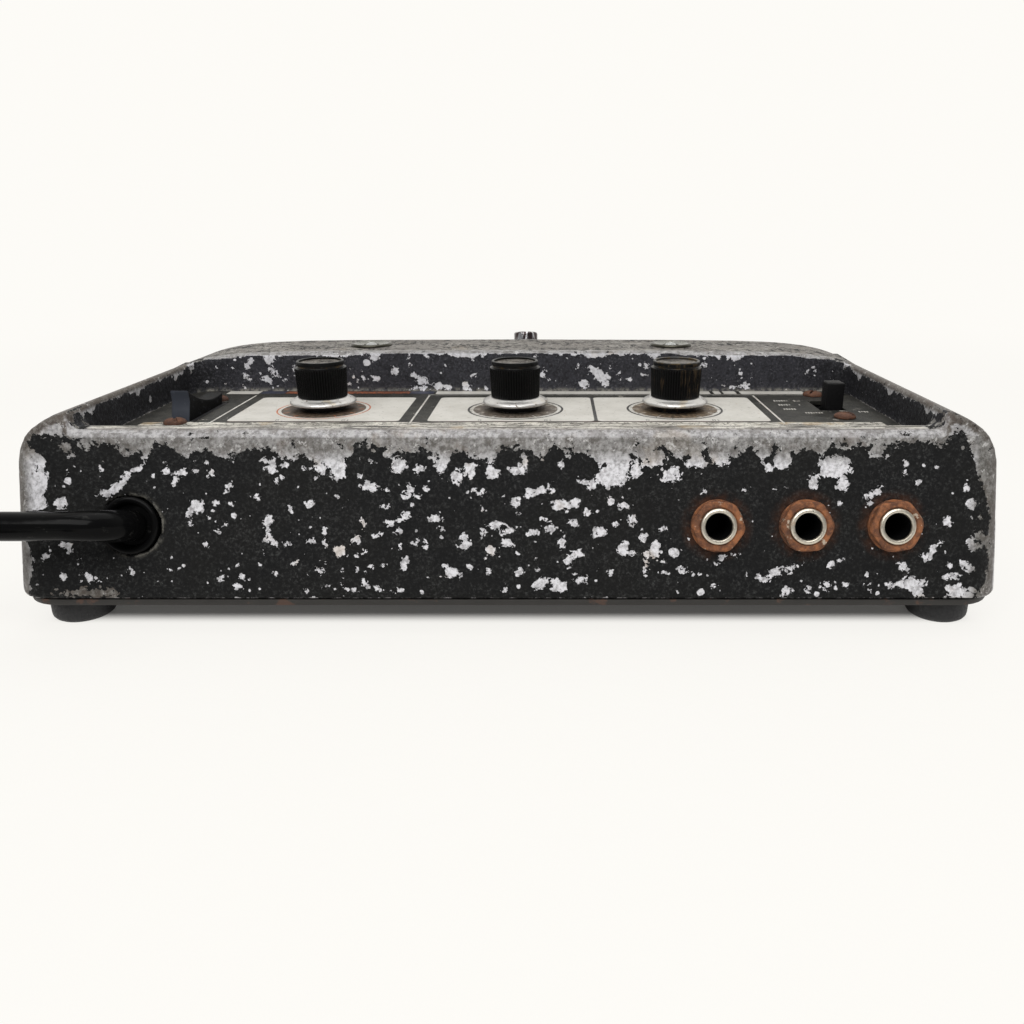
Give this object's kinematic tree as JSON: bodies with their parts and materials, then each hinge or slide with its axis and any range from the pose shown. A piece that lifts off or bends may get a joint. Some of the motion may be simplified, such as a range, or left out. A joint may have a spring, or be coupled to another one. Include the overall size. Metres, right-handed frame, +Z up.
{
  "type": "delay pedal",
  "caption": "Delay pedal: cast case with a recessed control well, fluted knobs with metal skirts, rocker, slide and foot switches, a row of jacks and a coiled mains lead.",
  "frame": {"origin": "centre of the case's footprint on the surface it stands on, under the feet", "axes": "+X along the jack face towards the jacks, +Y from the jack face to the front edge with the footswitch, +Z up"},
  "size_m": [0.365, 0.314, 0.0597],
  "materials": {
    "case_paint": "black wrinkle paint, chipped to grey bare metal",
    "panel_print": "black and off-white print on sheet metal, aged",
    "plate_steel": "dark tarnished steel",
    "screw_steel": "dull steel",
    "foot_rubber": "matte black rubber",
    "jack_metal": "nickel plated, worn",
    "brass_lugs": "tinned brass",
    "rusted_steel": "orange-brown rust over plated steel",
    "plated_steel": "plated, dull",
    "housing_plastic": "black moulded",
    "rocker_plastic": "blue-grey moulded",
    "switch_plastic": "black moulded",
    "button_chrome": "bright plated",
    "bezel_metal": "bright, tarnished",
    "lamp_lens": "dull red lens",
    "board_laminate": "green resist",
    "chip_plastic": "black moulded",
    "capacitor_sleeve": "sleeved",
    "trimmer_plastic": "moulded",
    "core_steel": "varnished laminations",
    "winding_tape": "amber tape",
    "fuse_laminate": "brown laminate",
    "fuse_glass": "clear",
    "wire_insulation": "insulated hook-up wire",
    "cord_jacket": "glossy black flexible jacket",
    "strap_fabric": "woven black strap",
    "plug_plastic": "black moulded",
    "blade_brass": "bright",
    "shaft_metal": "turned",
    "knob_plastic": "black fluted",
    "skirt_aluminium": "turned, scratched",
    "cap_metal": "dull, scuffed"
  },
  "bodies": {
    "case": {"top_case": "case_paint", "control_panel": "panel_print", "bottom_plate": "plate_steel", "bottom_screws": "screw_steel", "feet": "foot_rubber", "foot_screws": "screw_steel", "jack_bodies": "jack_metal", "jack_terminals": "brass_lugs", "jack_washers": "rusted_steel", "jack_nuts": "rusted_steel", "pot_bodies": "plated_steel", "pot_terminals": "brass_lugs", "pot_washers": "plated_steel", "pot_nuts": "plated_steel", "rocker_housing": "housing_plastic", "slide_housing": "plated_steel", "switch_screws": "rusted_steel", "switch_terminals": "brass_lugs", "footswitch_body": "plated_steel", "footswitch_washer": "plated_steel", "footswitch_nut": "plated_steel", "lamp_bezels": "bezel_metal", "lamps": "lamp_lens", "circuit_board": "board_laminate", "standoffs": "brass_lugs", "board_screws": "screw_steel", "chips": "chip_plastic", "capacitors": "capacitor_sleeve", "trimmers": "trimmer_plastic", "transformer_core": "core_steel", "transformer_winding": "winding_tape", "transformer_screws": "screw_steel", "transformer_nuts": "plated_steel", "fuse_board": "fuse_laminate", "fuse_clips": "brass_lugs", "fuse": "fuse_glass", "wiring": "wire_insulation", "strain_relief": "cord_jacket", "cord": "cord_jacket", "cord_coil": "cord_jacket", "cord_tail": "cord_jacket", "cord_tie": "strap_fabric", "plug_body": "plug_plastic", "plug_blades": "blade_brass"},
    "left_knob": {"left_knob_shaft": "shaft_metal", "left_knob_barrel": "knob_plastic", "left_knob_skirt": "skirt_aluminium", "left_knob_cap": "cap_metal"},
    "centre_knob": {"centre_knob_shaft": "shaft_metal", "centre_knob_barrel": "knob_plastic", "centre_knob_skirt": "skirt_aluminium", "centre_knob_cap": "cap_metal"},
    "right_knob": {"right_knob_shaft": "shaft_metal", "right_knob_barrel": "knob_plastic", "right_knob_skirt": "skirt_aluminium", "right_knob_cap": "cap_metal"},
    "rocker": {"rocker_button": "rocker_plastic"},
    "slide_switch": {"slide_knob": "switch_plastic"},
    "footswitch": {"footswitch_button": "button_chrome"}
  },
  "joints": [
    {"name": "left_knob_turn", "type": "hinge", "parent": "case", "child": "left_knob", "pos_m": [-0.0577, -0.0415, 0.045], "axis": [0, 0, 1], "range_deg": [-150, 150]},
    {"name": "centre_knob_turn", "type": "hinge", "parent": "case", "child": "centre_knob", "pos_m": [0, -0.0415, 0.045], "axis": [0, 0, 1], "range_deg": [-150, 150]},
    {"name": "right_knob_turn", "type": "hinge", "parent": "case", "child": "right_knob", "pos_m": [0.0479, -0.0415, 0.045], "axis": [0, 0, 1], "range_deg": [-150, 150]},
    {"name": "rocker_tilt", "type": "hinge", "parent": "case", "child": "rocker", "pos_m": [-0.0946, -0.0446, 0.0425], "axis": [1, 0, 0], "range_deg": [0, 23.6]},
    {"name": "slide_switch_travel", "type": "slide", "parent": "case", "child": "slide_switch", "axis": [0, 1, 0], "range_m": [0, 0.006]},
    {"name": "footswitch_press", "type": "slide", "parent": "case", "child": "footswitch", "axis": [0, -0.1874, -0.9823], "range_m": [0, 0.0024], "stiffness_N_per_m": 1500, "springref_m": -0.002}
  ]
}
